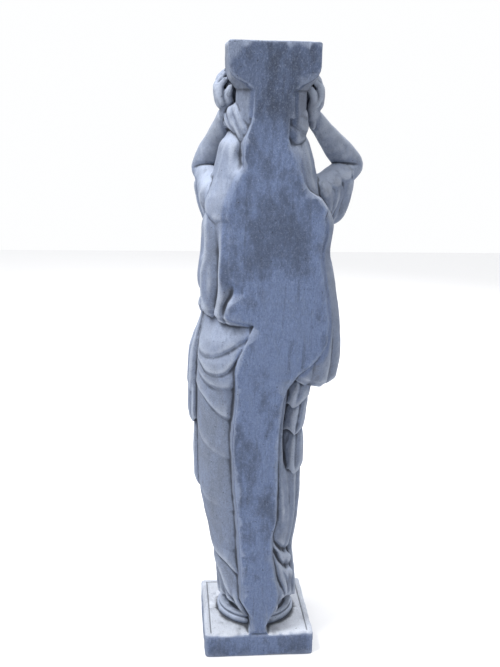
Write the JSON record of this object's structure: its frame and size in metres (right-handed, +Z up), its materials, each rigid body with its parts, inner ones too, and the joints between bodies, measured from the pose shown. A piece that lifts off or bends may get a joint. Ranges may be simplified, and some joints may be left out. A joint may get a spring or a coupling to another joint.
{
  "type": "caryatid statue",
  "caption": "Draped woman with raised arms steadying a square capital on her head, on a round socle and square plinth, cut flat behind.",
  "frame": {"origin": "centre of the plinth's underside", "axes": "+Z up to the capital's top bed; +Y out of the flat back; she faces -Y, so her left hand is at +X"},
  "size_m": [0.4393, 0.2974, 1.52],
  "materials": {
    "cast_stone": "matt grey cast concrete with a blue cast, pinholes, rain streaks and a paler worn skin on upward faces"
  },
  "bodies": {
    "root": {"caryatid": "cast_stone"}
  },
  "joints": []
}
